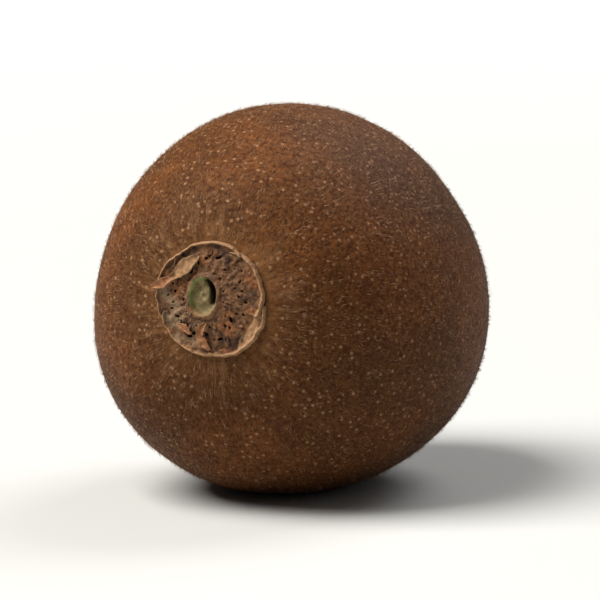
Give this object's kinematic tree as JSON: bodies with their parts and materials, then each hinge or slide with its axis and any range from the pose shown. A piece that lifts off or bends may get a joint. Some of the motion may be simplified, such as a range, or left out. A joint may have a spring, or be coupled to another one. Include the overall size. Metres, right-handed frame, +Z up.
{
  "type": "golden kiwi fruit",
  "caption": "Whole ovoid kiwi fruit with smooth brown skin, lying on its side on a small flat spot, with dried sepals round its stalk scar and dried styles at its blossom end.",
  "frame": {"origin": "on the surface that the fruit lies on, under the middle of its bounding box", "axes": "+Z up, +Y from the stem end to the blossom end along the fruit's long side, +X to the right as seen facing the stem end"},
  "size_m": [0.053, 0.0704, 0.0544],
  "materials": {
    "skin": "matte, with a fine short down"
  },
  "bodies": {
    "root": {"fruit": "skin"}
  },
  "joints": []
}
